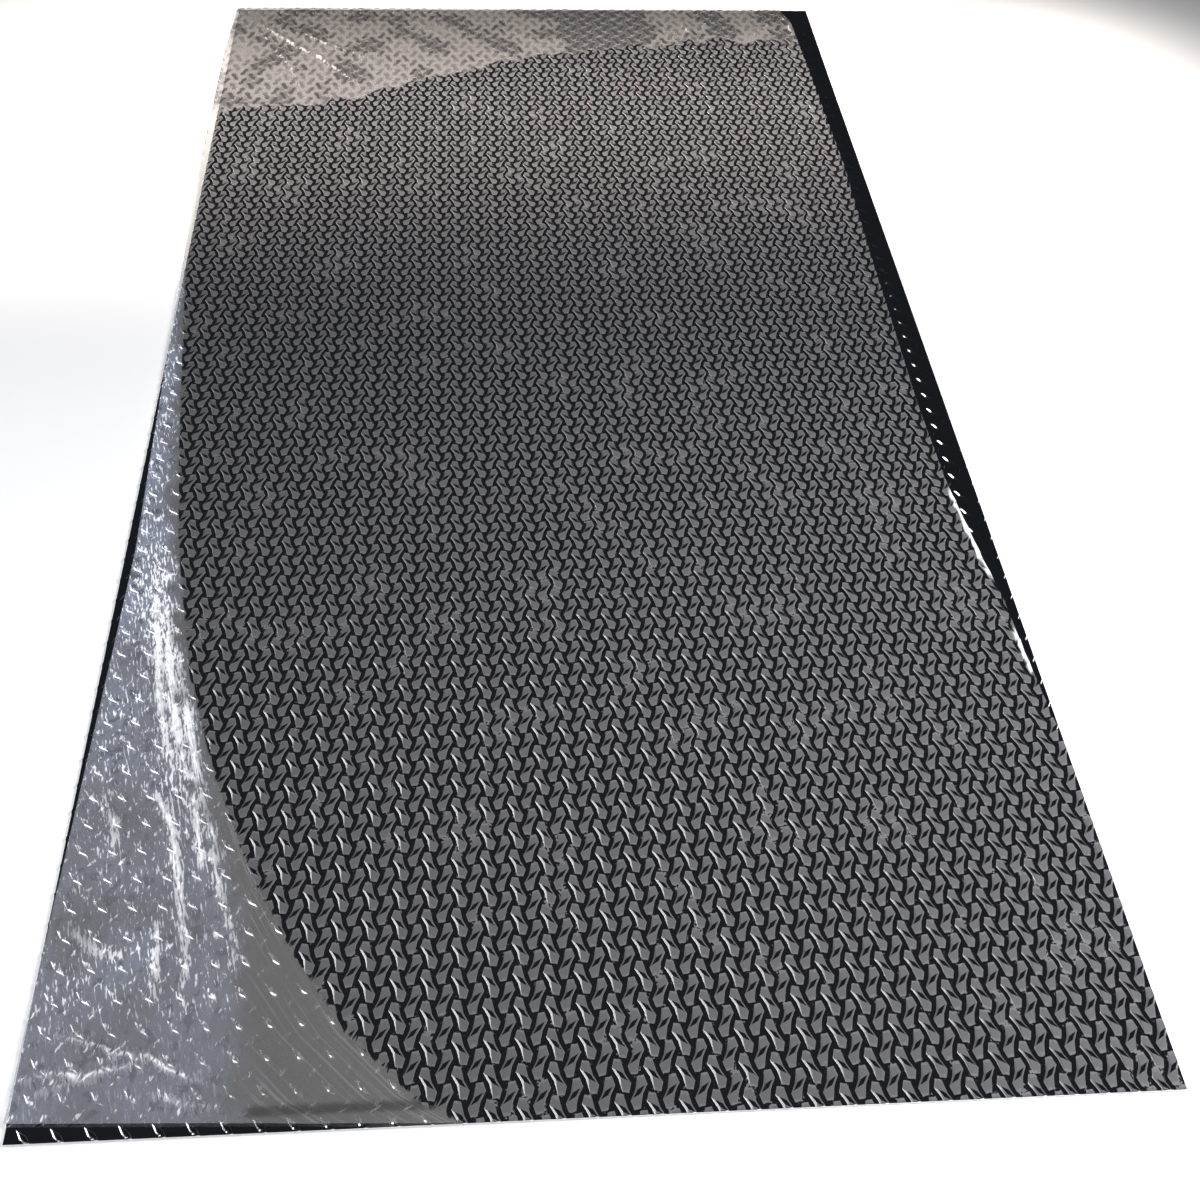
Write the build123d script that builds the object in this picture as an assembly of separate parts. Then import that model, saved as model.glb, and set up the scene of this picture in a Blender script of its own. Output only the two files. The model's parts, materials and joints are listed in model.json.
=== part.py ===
from build123d import *
import os

# Aluminum tread plate: one rolled sheet of bright aluminum, with the clear film that protects its tread face.
# Frame: origin at the centre of the underside, +X to the right, +Y along the sheet, +Z up. Millimetres.

# The sheet, a stock size: four by eight feet, one eighth of an inch thick under the tread
SHEET_WIDTH = 1219.2
SHEET_LENGTH = 2438.4
SHEET_THICKNESS = 3.175

# The film, and how far it is out of line with the sheet's edges
FILM_THICKNESS = 0.1
LEFT_OVERHANG = 14.0
RIGHT_BARE = 38.0
RIGHT_FLUSH_LENGTH = 450.0
RIGHT_BARE_START = 1000.0

# The near left corner of the film, which has come loose and been laid back
CORNER_PEEL_LENGTH = 1440.0
CORNER_PEEL_WIDTH = 430.0
CORNER_PEEL_BOW = 0.5
CORNER_BARE_SIDE = 13.0
CORNER_BARE_FRONT = 20.0
CORNER_EDGE_REACH = 790.0
CORNER_EDGE_LIFT = 4.0
CORNER_LIFT = 6.0

# The far end of the film, loose over its whole width
END_PEEL_LEFT = 430.0
END_PEEL_MIDDLE = 215.0
END_PEEL_RIGHT = 150.0
END_LIFT = 5.0

left, right = -SHEET_WIDTH / 2, SHEET_WIDTH / 2
near, far = -SHEET_LENGTH / 2, SHEET_LENGTH / 2
top = SHEET_THICKNESS


def build_sheet():
    """The rolled sheet: flat, with square sheared edges."""
    return Pos(0, 0, top / 2) * Box(SHEET_WIDTH, SHEET_LENGTH, SHEET_THICKNESS)


def corner_points():
    """The peel line across the near left corner, bowed towards it, and the film's free edge round the corner."""
    start = Vector(left, near + CORNER_PEEL_LENGTH, top)
    end = Vector(left + CORNER_PEEL_WIDTH, near, top)
    tip = Vector(left, near + CORNER_BARE_FRONT, top + CORNER_LIFT)
    side = Vector(left + CORNER_BARE_SIDE, near + CORNER_EDGE_REACH, top + CORNER_EDGE_LIFT)
    corner = Vector(left, near, top)
    line = [start]
    for share in (0.4, 0.75):
        straight = start + (end - start) * share
        line.append(straight + (corner - straight) * CORNER_PEEL_BOW * 4 * share * (1 - share) * 0.6)
    line.append(end)
    return line, side, tip


def end_points():
    """The peel line across the far end, and the film's free far edge beyond it."""
    line = [
        Vector(left - LEFT_OVERHANG, far - END_PEEL_LEFT, top),
        Vector(0, far - END_PEEL_MIDDLE, top),
        Vector(right - RIGHT_BARE, far - END_PEEL_RIGHT, top),
    ]
    edge = [
        Vector(left - LEFT_OVERHANG, far, top + END_LIFT),
        Vector(right - RIGHT_BARE, far, top + END_LIFT),
    ]
    return line, edge


def film_layer(outline):
    """A stretch of film, from the outline of its underside."""
    return extrude(make_face(outline), amount=FILM_THICKNESS, dir=(0, 0, 1))


def facet(*corners):
    """A flat triangle of loose film between two points of a peel line and its free edge."""
    return film_layer(Polyline(*corners, close=True))


def build_film():
    """The film: a stuck field on the sheet's top face, and facets of loose film that rise from its peel lines."""
    peel, side, tip = corner_points()
    end_peel, end_edge = end_points()
    left_edge = Spline(end_peel[0], peel[0], tangents=[(0, -1), (0.02, -1)])
    right_bare = Vector(right - RIGHT_BARE, near + RIGHT_BARE_START, top)
    right_flush = Vector(right, near + RIGHT_FLUSH_LENGTH, top)
    right_edge = [
        Line(end_peel[-1], right_bare),
        Spline(right_bare, right_flush, tangents=[(0, -1), (0, -1)]),
        Polyline(right_flush, (right, near, top), peel[-1]),
    ]
    stuck = film_layer([left_edge, Polyline(*peel), Polyline(*end_peel), *right_edge])
    corner = [
        facet(peel[0], peel[1], side),
        facet(side, peel[1], tip),
        facet(peel[1], peel[2], tip),
        facet(peel[2], peel[3], tip),
    ]
    end = [
        facet(end_peel[0], end_peel[1], end_edge[0]),
        facet(end_peel[1], end_edge[1], end_edge[0]),
        facet(end_peel[1], end_peel[2], end_edge[1]),
    ]
    return Solid.fuse(stuck, *corner, *end)


os.makedirs("parts", exist_ok=True)
export_step(build_sheet(), "parts/tread_plate.step")
export_step(build_film(), "parts/protective_film.step")
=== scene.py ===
import json
import math
import bmesh
import bpy
import numpy as np
from mathutils import Matrix, Vector, noise

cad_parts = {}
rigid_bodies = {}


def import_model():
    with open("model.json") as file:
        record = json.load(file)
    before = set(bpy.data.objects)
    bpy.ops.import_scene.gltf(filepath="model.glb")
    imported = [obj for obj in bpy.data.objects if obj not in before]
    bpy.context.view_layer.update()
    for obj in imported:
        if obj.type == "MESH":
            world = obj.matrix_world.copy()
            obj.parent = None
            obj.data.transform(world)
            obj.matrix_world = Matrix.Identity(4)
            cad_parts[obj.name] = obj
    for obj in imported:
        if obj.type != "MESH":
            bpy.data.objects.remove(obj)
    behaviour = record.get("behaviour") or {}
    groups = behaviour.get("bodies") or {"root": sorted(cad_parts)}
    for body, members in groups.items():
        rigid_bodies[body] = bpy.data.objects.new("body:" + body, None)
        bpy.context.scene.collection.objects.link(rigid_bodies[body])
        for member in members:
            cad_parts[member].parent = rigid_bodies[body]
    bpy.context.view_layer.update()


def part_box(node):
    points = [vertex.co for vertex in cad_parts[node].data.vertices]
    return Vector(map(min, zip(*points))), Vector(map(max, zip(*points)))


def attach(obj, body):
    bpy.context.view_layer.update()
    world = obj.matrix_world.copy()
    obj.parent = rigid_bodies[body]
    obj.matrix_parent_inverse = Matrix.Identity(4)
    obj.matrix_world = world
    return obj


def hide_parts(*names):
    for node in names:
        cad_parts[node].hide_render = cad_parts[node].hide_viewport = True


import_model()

# The tread plate: one sheet of bright aluminum with a diamond tread rolled into its top face.
# Each lug is a pointed lens that leans left or right in turn, and the sheet is sheared square,
# so its edges cut through the lugs wherever they fall.
MM = 0.001
sheet_low, sheet_high = (Vector(corner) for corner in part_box("tread_plate"))
sheet_left, sheet_near = sheet_low.x, sheet_low.y
sheet_width = sheet_high.x - sheet_low.x
sheet_length = sheet_high.y - sheet_low.y
face_z = sheet_high.z

# The tread's pitch across and along, where it starts, and how far a tile's outline steps sideways
tread_across = 33.6 * MM
tread_along = 37.6 * MM
tread_start = (-623.6 * MM, -1213.6 * MM)
column = tread_across / 2
zigzag = 3.3 * MM

# A lug before it leans: a lens with short straight flanks, drawn in to a low peaked crown
lug_height = 1.6 * MM
lug_lean = math.radians(45)
lug_half_length = 12.8 * MM
lug_half_width = 3.3 * MM
lug_shoulder = 2.5 * MM
crown_share = (0.636, 0.7)
crown_start = 0.9

# How near two points have to be to count as one: within a tile, between tiles and on a cut
weld = 0.01 * MM
tile_weld = 0.02 * MM
cut_weld = 0.001 * MM


def pick(mesh, wanted, keep=False):
    """Selects the vertices for which wanted is true, with the edges and faces between them."""
    shape = bmesh.from_edit_mesh(mesh)
    chosen = [v for v in shape.verts if wanted(v) or keep and v.select]
    for part in (shape.faces, shape.edges, shape.verts):
        for item in part:
            item.select = False
    for vertex in chosen:
        vertex.select = True
    shape.select_mode = {"VERT"}
    shape.select_flush_mode()
    bmesh.update_edit_mesh(mesh)


def shape_ring(tile, corners):
    """Moves the selected ring's vertices to the given corners."""
    shape = bmesh.from_edit_mesh(tile.data)
    turn = lambda point: math.atan2(point[1], point[0])
    ring = sorted((v for v in shape.verts if v.select), key=lambda v: turn(v.co))
    for vertex, corner in zip(ring, sorted(corners, key=turn)):
        vertex.co = corner
    bmesh.update_edit_mesh(tile.data)


def add_ring(tile, corners, fill):
    """Adds a closed ring through the given corners, left selected."""
    bpy.ops.mesh.primitive_circle_add(vertices=len(corners), fill_type=fill, location=(0, 0, 0))
    shape_ring(tile, corners)


def start_tile(name, height):
    """The outline of the piece of tread round one lug, which leans with the lug.
    Each of its corners meets a corner of another tile."""
    bpy.ops.object.select_all(action="DESELECT")
    bpy.ops.mesh.primitive_circle_add(vertices=6, fill_type="NOTHING", location=(0, 0, 0))
    tile = bpy.context.object
    tile.name = name
    bpy.ops.object.mode_set(mode="EDIT")
    bpy.ops.mesh.select_all(action="SELECT")
    inner, outer, row = column / 2 - zigzag, column / 2 + zigzag, tread_along / 4
    shape_ring(tile, [
        (-inner, -3 * row, height), (inner, -row, height), (outer, row, height),
        (inner, 3 * row, height), (-inner, row, height), (-outer, -row, height),
    ])
    return tile


def lean_lug():
    """Turns the lug that is being worked on to its lean."""
    bpy.ops.mesh.select_linked()
    bpy.ops.transform.rotate(value=lug_lean, orient_axis="Z", center_override=(0, 0, 0))


def open_flat(tile, height):
    """Takes out the faces that lie at a height, and leaves their outlines selected."""
    at_height = lambda v: height - weld <= v.co.z <= height + weld
    pick(tile.data, at_height)
    bpy.ops.mesh.delete(type="ONLY_FACE")
    pick(tile.data, at_height)


def lay_tiles(tile, extra, right_pleat_highlight=1):
    """Adds the column that leans left, and repeats the pair over the sheet and a little past it.
    Where the tile has folds, the painted highlights along the folds of the lug that leans right are made
    fainter by the last argument."""
    bpy.ops.object.mode_set(mode="EDIT")
    bpy.ops.mesh.select_all(action="SELECT")
    bpy.ops.mesh.duplicate()
    shape = bmesh.from_edit_mesh(tile.data)
    folds = shape.verts.layers.float.get("fold")
    if folds:
        for vertex in shape.verts:
            # The painted pleat highlight is fainter on the lugs that lean right
            vertex[folds] *= 1 if vertex.select else right_pleat_highlight
        bmesh.update_edit_mesh(tile.data)
    bpy.ops.transform.resize(value=(-1, 1, 1), center_override=(0, 0, 0))
    bpy.ops.transform.translate(value=(-column, -tread_along / 2, 0))
    bpy.ops.mesh.select_all(action="SELECT")
    bpy.ops.mesh.remove_doubles(threshold=weld)
    columns = math.ceil((sheet_width + extra) / tread_across) + 2
    rows = math.ceil((sheet_length + extra) / tread_along) + 2
    bpy.ops.transform.translate(
        value=(tread_start[0] + column - tread_across, tread_start[1] + tread_along / 2 - tread_along, 0)
    )
    bpy.ops.object.mode_set(mode="OBJECT")
    for count, offset in ((columns, (tread_across, 0, 0)), (rows, (0, tread_along, 0))):
        repeat = tile.modifiers.new("repeat", "ARRAY")
        repeat.count = count
        repeat.use_relative_offset = False
        repeat.use_constant_offset = True
        repeat.constant_offset_displace = offset
        repeat.use_merge_vertices = True
        repeat.merge_threshold = tile_weld
        bpy.ops.object.modifier_apply(modifier="repeat")


def trim(sheet, sides):
    """Cuts a sheet along straight lines, each a point and an outward direction."""
    bpy.ops.object.mode_set(mode="EDIT")
    for point, outward in sides:
        bpy.ops.mesh.select_all(action="SELECT")
        bpy.ops.mesh.bisect(plane_co=point, plane_no=outward, clear_outer=True, threshold=cut_weld)
    bpy.ops.mesh.select_all(action="SELECT")
    bpy.ops.mesh.normals_make_consistent(inside=False)


plate = start_tile("tread_sheet", face_z)
add_ring(plate, [
    (0, lug_half_length, face_z),
    (lug_half_width, lug_shoulder, face_z),
    (lug_half_width, -lug_shoulder, face_z),
    (0, -lug_half_length, face_z),
    (-lug_half_width, -lug_shoulder, face_z),
    (-lug_half_width, lug_shoulder, face_z),
], "NGON")
bpy.ops.mesh.mark_sharp()
bpy.ops.mesh.extrude_region_move(TRANSFORM_OT_translate={"value": (0, 0, lug_height * crown_start)})
bpy.ops.mesh.mark_sharp(clear=True)
bpy.ops.transform.resize(value=(crown_share[0], crown_share[1], 1), center_override=(0, 0, face_z))
bpy.ops.mesh.poke(offset=lug_height * (1 - crown_start))
lean_lug()
open_flat(plate, face_z)
bpy.ops.mesh.fill()
lay_tiles(plate, 0)
trim(plate, [
    (sheet_low, (-1, 0, 0)),
    (sheet_low, (0, -1, 0)),
    (sheet_high, (1, 0, 0)),
    (sheet_high, (0, 1, 0)),
])

# The sheared sides and the plain underside
bpy.ops.mesh.select_non_manifold(extend=False)
bpy.ops.mesh.extrude_edges_move()
bpy.ops.transform.resize(value=(1, 1, 0), center_override=(0, 0, sheet_low.z))
bpy.ops.mesh.edge_face_add()
bpy.ops.mesh.select_all(action="SELECT")
bpy.ops.mesh.normals_make_consistent(inside=False)
bpy.ops.object.mode_set(mode="OBJECT")
bpy.ops.object.shade_smooth_by_angle(angle=math.radians(30), keep_sharp_edges=True)


class Tone:
    """One value of a finish: a node's output, on which arithmetic adds Math nodes."""

    def __init__(self, tree, socket=None):
        self.tree = tree
        self.socket = socket

    def node(self, kind, settings=None, sockets=None, output=0):
        made = self.tree.nodes.new("ShaderNode" + kind)
        for name, value in (settings or {}).items():
            setattr(made, name, value)
        for name, value in (sockets or {}).items():
            if isinstance(value, Tone):
                self.tree.links.new(value.socket, made.inputs[name])
            else:
                made.inputs[name].default_value = value
        return Tone(self.tree, made.outputs[output] if made.outputs else None)

    def math(self, operation, *values):
        return self.node("Math", {"operation": operation}, dict(enumerate(values)))

    def __add__(self, other):
        return self.math("ADD", self, other)

    def __sub__(self, other):
        return self.math("SUBTRACT", self, other)

    def __rsub__(self, other):
        return self.math("SUBTRACT", other, self)

    def __mul__(self, other):
        return self.math("MULTIPLY", self, other)

    __radd__ = __add__
    __rmul__ = __mul__


def new_finish(name):
    """An empty material and the Tone that its nodes start from."""
    finish = bpy.data.materials.new(name)
    finish.use_nodes = True
    finish.node_tree.nodes.clear()
    return finish, Tone(finish.node_tree)


def end_finish(start, shader):
    """Gives the finished shader to the material."""
    start.node("OutputMaterial", sockets={"Surface": shader})


# Bright metal with fine lines from the rolls and faint clouds
aluminum_colour = (0.83, 0.84, 0.86, 1)
aluminum, tone = new_finish("bright_rolled_aluminum")
place = tone.node("TexCoord", output="Object")
rolled = tone.node("Mapping", sockets={"Vector": place, "Scale": (900, 6, 900)})
roll_lines = tone.node("TexNoise", sockets={"Vector": rolled, "Scale": 1.0, "Detail": 3.0}, output="Fac")
clouds = tone.node("TexNoise", sockets={"Vector": place, "Scale": 9.0, "Detail": 4.0}, output="Fac")
bump = tone.node("Bump", sockets={"Height": roll_lines, "Strength": 0.03, "Distance": 0.0002})
end_finish(tone, tone.node("BsdfPrincipled", sockets={
    "Base Color": aluminum_colour,
    "Metallic": 1.0,
    "Roughness": 0.05 + 0.05 * roll_lines + 0.04 * clouds,
    "Normal": bump,
}))
plate.data.materials.append(aluminum)
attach(plate, "root")
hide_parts("tread_plate")


# The protective film: thin clear plastic stuck over the tread at the mill. It clings to the flats and
# the lug crowns and stands off in a small tent round each lug. The near left corner and the far end
# have been pulled loose and laid back, so there it lies over the lugs in wrinkles.
film_gap = 0.08 * MM
film_low = face_z + film_gap
film_crown = face_z + lug_height + film_gap
crown_half_length = 8.6 * MM
crown_half_width = 2.25 * MM
close = 0.1 * MM
spare_width = 30 * MM

# The foot of the tent round a lug that leans right, in millimetres from the middle of the lug. A pleat
# runs up from three of its corners. At two corners the tents almost touch the next ones, so there the
# film counts as just off the flats.
tent_foot = [
    (9.6, 9.0), (6.6, 19.4), (-0.4, 17.8), (-3.7, 2.4),
    (-9.6, -9.0), (-6.6, -19.4), (0.4, -17.8), (3.7, -2.4),
]
# The number at each pleat sets how strongly its painted highlight shows
pleat = {(9.6, 9.0): 1.0, (3.7, -2.4): 1.0, (0.4, -17.8): 0.8}
bridged = {(-0.4, 17.8): 0.03, (0.4, -17.8): 0.03}

film = start_tile("film_sheet", film_low)
add_ring(film, [
    (0, crown_half_length, film_crown),
    (crown_half_width, 0, film_crown),
    (0, -crown_half_length, film_crown),
    (-crown_half_width, 0, film_crown),
], "NGON")
lean_lug()
add_ring(film, [(right * MM, up * MM, film_low) for right, up in tent_foot], "NOTHING")
pick(film.data, lambda v: v.co.z > film_crown - close, keep=True)
bpy.ops.mesh.bridge_edge_loops()
open_flat(film, film_low)
bpy.ops.mesh.fill()
bpy.ops.object.mode_set(mode="OBJECT")

# How far up a lug each point of the film is, 0 on the flats and 1 on the crown, and the pleats of each tent
# with the strength of their painted highlight
film.data.attributes.new("lift", "FLOAT", "POINT")
film.data.attributes.new("fold", "FLOAT", "POINT")
for index, vertex in enumerate(film.data.vertices):
    if vertex.co.z > film_crown - close:
        film.data.attributes["lift"].data[index].value = 1.0
    for name, corners in (("fold", pleat), ("lift", bridged)):
        for corner, value in corners.items():
            if math.dist(vertex.co.xy, (corner[0] * MM, corner[1] * MM)) < close:
                film.data.attributes[name].data[index].value = value
# The painted pleat highlights of the lugs that lean right are made fainter
lay_tiles(film, spare_width, right_pleat_highlight=0.87)
trim(film, [
    (sheet_low, (0, -1, 0)),
    (sheet_high, (1, 0, 0)),
])

# Edges of the film, and the lines along which it has come loose, in millimetres from the sheet's near
# left corner. The first number of a point is along the sheet, but across it for near_edge and end_peel.
left_edge = [
    (20, -2), (160, 0), (740, 12), (830, 13), (1290, 0), (1700, -10), (1880, -14), (2260, -12), (2438, -4),
]
right_edge = [
    (0, 1219.2), (450, 1219), (580, 1210), (715, 1204), (770, 1196), (940, 1180), (1110, 1176),
    (1550, 1182), (1815, 1188), (2200, 1182), (2390, 1176), (2438, 1160),
]
near_edge = [(0, 20), (180, 12), (425, 0), (1220, 0)]
far_edge = 2438.4
corner_peel = [
    (0, 460), (30, 412), (104, 340), (201, 277), (303, 222), (441, 167), (603, 118), (832, 76),
    (1041, 51), (1331, 22), (1617, -6), (2500, -60),
]
corner_crumple = [
    (0, 224), (129, 219), (219, 207), (305, 190), (372, 168), (495, 131), (614, 102), (717, 79),
    (970, 38), (1200, 20), (1331, 10), (1617, -20), (2500, -80),
]
end_peel = [(-20, 2008), (212, 2045), (347, 2103), (426, 2143), (610, 2225), (970, 2290), (1220, 2290)]

# Wrinkles: points across and along in millimetres, height, half width
corner_wrinkles = [
    ([(44, 840), (70, 700), (96, 580), (118, 490), (138, 420), (150, 350)], 1.3, 26),
    ([(70, 733), (84, 640), (97, 562), (114, 496), (131, 434)], 3.2, 6),
    ([(50, 780), (66, 660), (81, 562), (98, 496), (116, 434)], 2.8, 5),
    ([(84, 690), (100, 614), (113, 561), (130, 495), (146, 432), (164, 372), (182, 334), (190, 305)], 3.2, 6),
    ([(94, 424), (106, 398), (118, 378), (126, 354), (131, 317)], 2.6, 5),
    ([(136, 430), (152, 363), (158, 335), (165, 300)], 2.6, 5),
    ([(58, 969), (86, 749), (118, 588), (133, 532), (150, 467), (171, 411), (191, 361)], 1.2, 4),
    ([(110, 430), (137, 297), (158, 195), (160, 140)], 2.4, 5),
    ([(158, 420), (177, 310), (207, 219), (218, 150)], 2.4, 5),
    ([(119, 260), (130, 140)], 2.0, 5),
    ([(186, 399), (223, 280), (246, 180)], 1.2, 5),
    ([(12, 118), (57, 108), (76, 100), (100, 90), (132, 86), (158, 69), (175, 60), (214, 48)], 3.0, 4),
    ([(-2, 62), (36, 71), (72, 67), (93, 72), (132, 80)], 3.0, 4),
    ([(20, 50), (54, 59), (86, 64)], 2.4, 4),
    ([(134, 48), (170, 34), (186, 30), (223, 26)], 2.4, 4),
    ([(207, 27), (293, 21), (400, 18)], 1.5, 7),
    ([(20, 250), (50, 215), (90, 200)], 2.0, 7),
    ([(30, 420), (52, 380), (60, 330)], 2.0, 7),
]
end_wrinkles = [
    ([(5, 2415), (124, 2279), (184, 2221), (241, 2147), (300, 2070)], 4.0, 8),
    ([(20, 2385), (100, 2241), (139, 2147), (175, 2045)], 3.5, 8),
    ([(70, 2395), (180, 2288), (237, 2250), (320, 2190)], 3.5, 8),
    ([(330, 2430), (420, 2330), (470, 2240)], 2.5, 6),
    ([(620, 2420), (590, 2340), (640, 2260)], 2.5, 6),
    ([(935, 2405), (948, 2329), (970, 2250)], 3.5, 8),
    ([(1020, 2405), (962, 2338)], 3.0, 8),
    ([(1140, 2385), (1075, 2310)], 3.0, 8),
    ([(1143, 2430), (1168, 2375), (1170, 2290)], 3.5, 8),
]


def along(points, at):
    """A line through listed points, read at the given places."""
    return np.interp(at, [p[0] for p in points], [p[1] for p in points])


def ease(low, high, value):
    """A smooth step from 0 at low to 1 at high."""
    share = np.clip((value - low) / (high - low), 0, 1)
    return share * share * (3 - 2 * share)


def ridge(across, length, points, half_width):
    """A wrinkle along a line of points that swells from nothing to 1 and dies away again."""
    raised = np.zeros_like(across)
    stretches = list(zip(points, points[1:]))
    total = sum(math.dist(a, b) for a, b in stretches)
    done = 0
    for a, b in stretches:
        long = math.dist(a, b)
        ahead = ((b[0] - a[0]) / long, (b[1] - a[1]) / long)
        run = np.clip((across - a[0]) * ahead[0] + (length - a[1]) * ahead[1], 0, long)
        off = np.hypot(across - a[0] - run * ahead[0], length - a[1] - run * ahead[1])
        share = (done + run) / total
        swell = np.sqrt(np.clip(4 * share * (1 - share), 0, 1))
        raised = np.maximum(raised, swell * np.exp(-((off / half_width) ** 2)))
        done += long
    return raised


def mottle(across, length, size, seed):
    """Soft random patches between -1 and 1."""
    return np.array([noise.noise((a / size, b / size, seed)) for a, b in zip(across, length)])


def off_peel(vertex):
    """How far a point of the film lies inside the loose corner, in millimetres."""
    return along(corner_peel, (vertex.co.y - sheet_near) / MM) - (vertex.co.x - sheet_left) / MM


# The loose corner gets a finer mesh, and each point is brought inside the film's edges
pick(film.data, lambda v: off_peel(v) > 0)
bpy.ops.mesh.subdivide(number_cuts=1)
bpy.ops.object.mode_set(mode="OBJECT")
points = np.empty(len(film.data.vertices) * 3)
film.data.vertices.foreach_get("co", points)
points = points.reshape(-1, 3)
across = (points[:, 0] - sheet_left) / MM
length = (points[:, 1] - sheet_near) / MM
height = (points[:, 2] - face_z) / MM
uncut = (across, length)
length = np.clip(length, along(near_edge, across), far_edge)
across = np.clip(across, along(left_edge, length), along(right_edge, length))
past_edge = (across != uncut[0]) | (length != uncut[1])

# Where the film is loose: at the corner, the far end, the overhang on the left, and two short stretches
# of the right edge
from_corner_peel = along(corner_peel, length) - across
from_end_peel = length - along(end_peel, across)
from_right_edge = along(right_edge, length) - across
patches = mottle(across, length, 70, 3.1)
fine = mottle(across, length, 28, 8.4)
loose_corner = ease(0, 10, from_corner_peel)
loose_end = ease(-10, 30, from_end_peel + 25 * fine)
loose_left = ease(4, -4, across) * ease(1200, 1300, length)
loose_right = ease(9, 4, from_right_edge) * np.maximum(
    ease(550, 580, length) * ease(660, 640, length), ease(710, 760, length) * ease(960, 900, length)
)
loose_points = np.maximum.reduce([loose_corner, loose_end, loose_left, loose_right])

# How high the loose film lies in millimetres above the face, how crumpled it is, and how strong its painted
# bluish sheen is
slack = 0.1
on_lugs = (lug_height + film_gap) / MM + slack
crumpled = ease(-32, 22, along(corner_crumple, length) - across + 24 * fine)
corner_rise = on_lugs + ease(0, 40, from_corner_peel) * (1 + 0.8 * fine + 0.5 * patches)
corner_rise += 1.5 * ease(40, 0, length - along(near_edge, across))
# Sheen: how strongly the crumpled corner shows a painted bluish reflection, strongest far along it
sheen_points = crumpled * loose_corner * (0.7 + 0.5 * patches + 0.9 * ease(420, 1000, length))
crumple_points = np.zeros_like(across)
for line, rise, half_width in corner_wrinkles:
    raised = ridge(across, length, line, half_width)
    corner_rise += rise * raised
    crumple_points = np.maximum(crumple_points, raised * 0.33 * rise * loose_corner * crumpled)
end_rise = on_lugs + 2.5 * ease(100, 400, from_end_peel)
end_rise += 0.5 * (1 + fine + patches) * ease(0, 60, from_end_peel)
for line, rise, half_width in end_wrinkles:
    raised = ridge(across, length, line, half_width)
    end_rise += rise * raised
    crumple_points = np.maximum(crumple_points, raised * (0.2 + 0.16 * rise) * loose_end)
crumple_points = np.maximum(crumple_points, loose_right)

# Where the loose far end rests on the metal, most of all in one patch right of the middle
rest_patch = ease(670, 700, across) * ease(880, 840, across) * ease(2190, 2220, length)
resting_points = loose_end * (1 - loose_corner) * np.clip(0.5 + 0.9 * patches + 0.8 * rest_patch, 0, 1)
height += loose_corner * (np.maximum(corner_rise, on_lugs) - height)
height += np.where(loose_corner > 0, 0, loose_end * (end_rise - on_lugs))

points = np.stack([across * MM + sheet_left, length * MM + sheet_near, height * MM + face_z], axis=1)
film.data.vertices.foreach_set("co", points.ravel())
film.data.update()
# reach is how far a point lies inside the loose corner, in metres
for name, values in (
    ("loose", loose_points),
    ("crumple", crumple_points),
    ("sheen", sheen_points),
    ("resting", resting_points),
    ("reach", from_corner_peel * MM),
):
    film.data.attributes.new(name, "FLOAT", "POINT").data.foreach_set("value", values)

# What lies past the edges comes off
sliver = 0.03 * MM
bpy.ops.object.mode_set(mode="EDIT")
pick(film.data, lambda v: past_edge[v.index])
bpy.ops.mesh.delete(type="ONLY_FACE")
bpy.ops.mesh.select_all(action="SELECT")
bpy.ops.mesh.delete_loose()
bpy.ops.mesh.select_all(action="SELECT")
bpy.ops.mesh.dissolve_degenerate(threshold=sliver)
bpy.ops.mesh.delete_loose()
bpy.ops.mesh.normals_make_consistent(inside=False)
bpy.ops.object.mode_set(mode="OBJECT")
bpy.ops.object.shade_smooth_by_angle(angle=math.radians(27))

clear_film, tone = new_finish("clear_film")
place = tone.node("TexCoord", output="Object")


def kept(name):
    """A value that is kept on the film's points."""
    return tone.node("Attribute", {"attribute_name": name}, output="Fac")


def step(value, low, high):
    """A smooth step between two values of a tone."""
    limits = {"Value": value, "From Min": low, "From Max": high}
    return tone.node("MapRange", {"interpolation_type": "SMOOTHSTEP"}, limits)


def blend(share, first, second):
    """A colour between two others."""
    return tone.node("Mix", {"data_type": "RGBA"}, {0: share, 6: first, 7: second}, output=2)


lift = kept("lift")
fold = kept("fold")
loose = kept("loose")
crumple = kept("crumple")
sheen = kept("sheen")
resting = kept("resting")
reach = kept("reach")
down_sheet = tone.node("SeparateXYZ", sockets={0: place}, output="Y")

# Uneven plastic: ragged tent edges, blotches, patches, and crinkles and lines drawn out along the sheet
ragged = tone.node("TexNoise", sockets={"Vector": place, "Scale": 300.0, "Detail": 2.0}, output="Fac")
blotch = tone.node("TexNoise", sockets={"Vector": place, "Scale": 80.0, "Detail": 3.0}, output="Fac")
patch = tone.node("TexNoise", sockets={"Vector": place, "Scale": 12.0, "Detail": 1.0}, output="Fac")
folded = tone.node("Mapping", sockets={"Vector": place, "Scale": (170, 30, 1)})
crinkle = tone.node("TexNoise", sockets={"Vector": folded, "Scale": 1.0, "Detail": 3.0}, output="Fac")
leaning = {"Vector": place, "Rotation": (0, 0, math.radians(13)), "Scale": (0.0024, 0.02, 1)}
combed = tone.node("Mapping", {"vector_type": "TEXTURE"}, leaning)
strands = tone.node("TexNoise", sockets={"Vector": combed, "Scale": 1.0, "Detail": 2.0}, output="Fac")
beside = tone.node("CombineXYZ", sockets={"X": 260 * reach, "Y": 3 * down_sheet})
peel_lines = tone.node("TexNoise", sockets={"Vector": beside, "Scale": 1.0, "Detail": 2.0}, output="Fac")
creased = tone.node("Mapping", sockets={"Vector": place, "Scale": (300, 110, 1)})
flecks = tone.node("TexNoise", sockets={"Vector": creased, "Scale": 1.0, "Detail": 2.0}, output="Fac")
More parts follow.
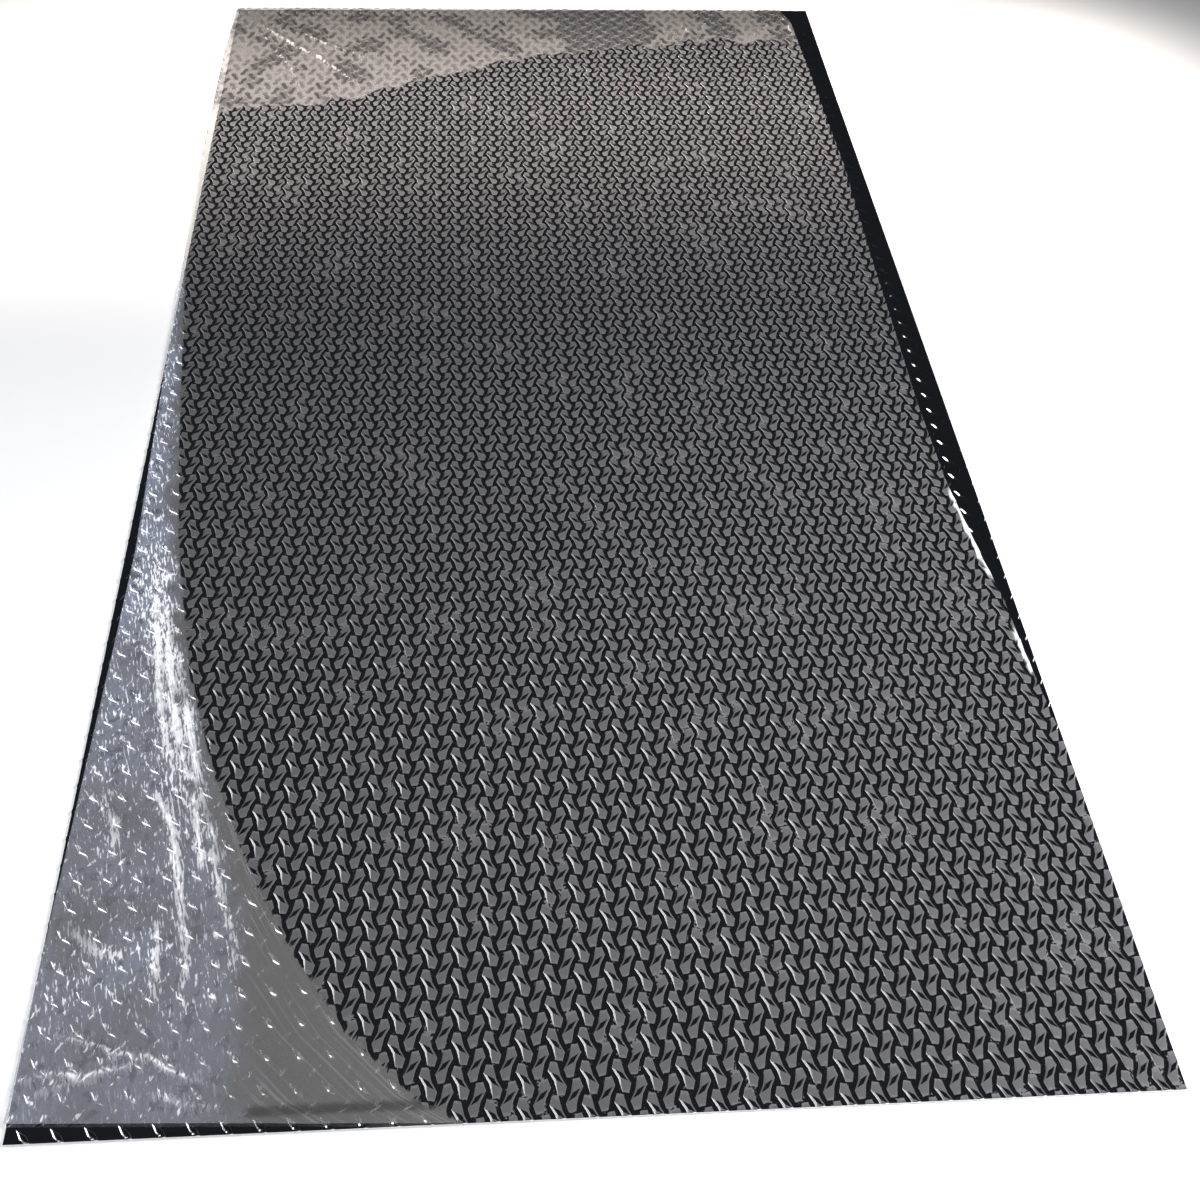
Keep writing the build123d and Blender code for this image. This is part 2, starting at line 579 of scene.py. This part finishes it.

# Stuck film: clear on the flats and crowns, hazy in the tents, with a painted highlight along the pleats and
# the tents' rims
free = step(loose, 0.35, 0.65)
crown = step(lift, 0.95, 0.99)
joined = step(patch, 0.57, 0.64)
tent = step(lift + 0.22 * ragged - 0.11 - 0.04 * (1 - joined), 0.0, 0.02) * step(lift, 0.002, 0.01)
# Painted highlight along the edges of each tent, where the bent film catches the light
rim_highlight = 1 - step(lift + 0.9 * ragged - 0.45, 0.1, 0.32)
# Painted highlight along the pleats, standing in for the glint of light on their steep sides
pleat_highlight = 0.75 * step(fold, 0.72, 0.94)
stuck_haze = 0.96 * tent * (1 - crown)
stuck_grey = (0.115, 0.114, 0.116, 1)
# The white of the painted pleat highlight
pleat_highlight_white = (0.95, 0.95, 0.97, 1)
stuck_tint = blend(0.055 * rim_highlight + pleat_highlight, stuck_grey, pleat_highlight_white)

# Loose film: hazy all over, with painted highlights along its wrinkles, painted glints over the lugs, painted
# glinting flecks and a painted bluish reflection where it is crumpled, and painted highlight lines beside the
# peel. Its wrinkles run crosswise along the near edge.
far_end = 1 - step(reach, -0.01, 0.0)
from_front = down_sheet - sheet_near
crosswise = 1 - step(from_front, 0.11, 0.14)
uneven = 0.8 * crinkle * (1 - crosswise) + 0.4 * crosswise
combed_out = step(strands + far_end + crosswise, 0.46, 0.56)
# Painted highlight along the ridges of the wrinkles and along the loose stretches of the right edge
thread_highlight = step(crumple + uneven - 0.4, 0.5, 0.95) * (0.1 + 0.9 * combed_out)
# Painted glints of the lugs under the loose film
glint = (0.2 + sheen) * step(lift + 0.8 * flecks, 1.38, 1.5) * step(reach, 0.004, 0.012)
# Painted highlight lines beside the corner's peel line, in the plain stretch
lane_highlight = step(reach, 0.001, 0.004) * step(0.2 - sheen, 0.0, 0.2) * step(peel_lines, 0.55, 0.66)
# Painted glints on small crinkles where the film is crumpled
fleck_glint = sheen * step(0.35 * flecks + 0.65 * strands + 0.26 * crumple + 0.03 * sheen, 0.58, 0.66)
front_fleck_glint = fleck_glint * (1 - 0.7 * crosswise)
# Painted bluish reflection in the crumpled film
reflection_cloud = sheen * (0.3 + 1.4 * crinkle)
dark_blotch = sheen * step(blotch, 0.57, 0.64)

# Where it touches the metal at the far end it gets a painted dark reflection of the metal, and a fold just
# behind the near edge gets a painted shadow line
spots = (0.6 + 0.4 * step(resting, 0.35, 0.6)) * step(resting, 0.02, 0.2) * step(lift, 0.35, 0.5)
touching = spots + 0.85 * step(resting, 0.48, 0.75) * (1 - tent)
front_band = step(from_front, 0.012, 0.018) * (1 - step(from_front, 0.022, 0.03))
front_fold_shadow = front_band * (1 - step(sheen, 0.0, 0.3))
# The loose film's haze, raised by the painted highlights, glints and bluish reflection
haze_and_highlights = 0.42 + 0.11 * reflection_cloud + 0.32 * thread_highlight + 0.4 * front_fleck_glint + 0.35 * glint + 0.08 * lane_highlight
loose_haze_and_painted_light = haze_and_highlights * (1 - 0.4 * dark_blotch) + 0.2 * far_end + 0.2 * touching
haze_grey = (0.275, 0.268, 0.262, 1)
# The blue of the painted reflection
reflection_blue = (0.39, 0.43, 0.55, 1)
# The white of the painted highlights and glints on the loose film
highlight_white = (0.97, 0.98, 1.0, 1)
dark_contact_reflection = (0.035, 0.035, 0.038, 1)
haze_and_reflection_tint = blend(0.6 * reflection_cloud, haze_grey, reflection_blue)
loose_tint = blend(0.8 * thread_highlight + 0.9 * front_fleck_glint + 0.8 * glint + 0.1 * lane_highlight, haze_and_reflection_tint, highlight_white)
# Painted dark reflection where the film touches the metal, and painted shadow in the fold behind the near
# edge
touched_tint = blend(0.9 * touching + 0.55 * front_fold_shadow * (1 - far_end), loose_tint, dark_contact_reflection)

bump = tone.node("Bump", sockets={
    "Height": crumple * crinkle + 0.3 * sheen * flecks,
    "Strength": 0.6,
    "Distance": 0.002,
})
end_finish(tone, tone.node("BsdfPrincipled", sockets={
    "Base Color": blend(free, stuck_tint, touched_tint),
    "Roughness": 0.16 + 0.1 * ragged,
    "IOR": 1.6,
    "Coat Weight": 1.0,
    "Coat Roughness": 0.12,
    "Coat IOR": 1.6,
    "Alpha": 0.01 + stuck_haze * (1 - free) + loose_haze_and_painted_light * free,
    "Normal": bump,
}))
film.data.materials.append(clear_film)
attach(film, "root")
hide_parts("protective_film")


# The floor: a plain pale surface, matt all over, that the sheet lies on.
# It is wide enough to fill the picture, and lies a hair below the underside.
floor_size = 16
floor_gap = 0.2 * MM
floor_colour = (0.96, 0.96, 0.96, 1)
bpy.ops.object.select_all(action="DESELECT")
bpy.ops.mesh.primitive_plane_add(size=floor_size, location=(0, 0, sheet_low.z - floor_gap))
floor = bpy.context.object
floor.name = "studio_floor"
pale, tone = new_finish("pale_floor")
end_finish(tone, tone.node("BsdfPrincipled", sockets={"Base Color": floor_colour, "Roughness": 0.9}))
floor.data.materials.append(pale)


# The light: a soft box high at the right, a large one at the left that the metal mirrors, a narrow
# warm one high past the far end, and a dim bluish room round them.
room_colour = (0.55, 0.6, 0.75, 1)
room_strength = 0.02


def soft_box(name, spot, target, size, watts, colour, mirrored, spread=180):
    """A rectangular lamp that faces a target. The metal shows its reflection only if it is mirrored."""
    lamp = bpy.data.lights.new(name, "AREA")
    lamp.shape = "RECTANGLE"
    lamp.size, lamp.size_y = size
    lamp.energy = watts
    lamp.color = colour
    lamp.spread = math.radians(spread)
    box = bpy.data.objects.new(name, lamp)
    box.location = spot
    box.rotation_euler = (Vector(target) - Vector(spot)).to_track_quat("-Z", "Y").to_euler()
    box.visible_glossy = mirrored
    bpy.context.scene.collection.objects.link(box)


soft_box(
    "overhead_box", (1.6, -0.8, 1.7), (0.6, -0.7, 0.0),
    size=(1.6, 1.2), watts=48, colour=(0.98, 0.98, 1.0), mirrored=False, spread=120,
)
soft_box(
    "left_box", (-2.8, -1.2, 1.25), (0.0, -0.7, 0.4),
    size=(3.0, 2.1), watts=102, colour=(0.97, 0.98, 1.0), mirrored=True,
)
soft_box(
    "far_box", (0.0, 1.9, 2.0), (0.0, 0.837, 0.0),
    size=(2.4, 0.3), watts=16.5, colour=(1.0, 0.9, 0.82), mirrored=False, spread=26,
)
world = bpy.data.worlds.new("dim_room")
world.use_nodes = True
room = world.node_tree.nodes["Background"]
room.inputs["Color"].default_value = room_colour
room.inputs["Strength"].default_value = room_strength
bpy.context.scene.world = world


# The camera: above the near end, looking down the sheet's length. Its place, its three directions and
# its lens were fitted to the sheet's corners in a picture 1200 pixels wide.
image_width = 1200
focal_pixels = 1465.5
shift_pixels = (17.8, -5.2)
right = Vector((0.997598, -0.061552, 0.031783))
down = Vector((-0.023546, -0.732776, -0.680063))
ahead = Vector((0.065149, 0.677681, -0.732465))
camera = bpy.data.objects.new("camera", bpy.data.cameras.new("camera"))
camera.location = (-0.1141, -1.8391, 1.472)
camera.rotation_euler = Matrix((right, -down, -ahead)).transposed().to_euler()
camera.data.sensor_width = 36
camera.data.lens = focal_pixels / image_width * camera.data.sensor_width
camera.data.shift_x = shift_pixels[0] / image_width
camera.data.shift_y = shift_pixels[1] / image_width
bpy.context.scene.collection.objects.link(camera)
bpy.context.scene.camera = camera
bpy.context.scene.view_settings.view_transform = "Standard"
